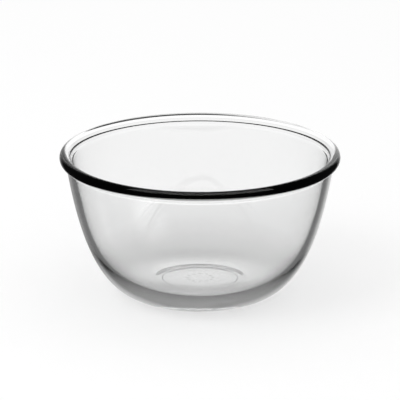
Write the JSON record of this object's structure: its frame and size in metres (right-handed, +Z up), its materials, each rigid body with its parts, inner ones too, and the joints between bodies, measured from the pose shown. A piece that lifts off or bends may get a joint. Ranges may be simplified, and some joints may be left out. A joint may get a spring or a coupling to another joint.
{
  "type": "prep bowl",
  "caption": "Deep round glass prep bowl with curved walls, a rolled bead at the rim and a flat ring foot with a shallow hollow under it.",
  "frame": {"origin": "on the axis of the bowl, at the height of the table that it stands on", "axes": "+Z up along the bowl's axis, out of the mouth; +X and +Y across the bowl, which is round, so they have no preferred direction"},
  "size_m": [0.1394, 0.1394, 0.0733],
  "materials": {
    "glass": "gloss"
  },
  "bodies": {
    "root": {"bowl": "glass"}
  },
  "joints": []
}
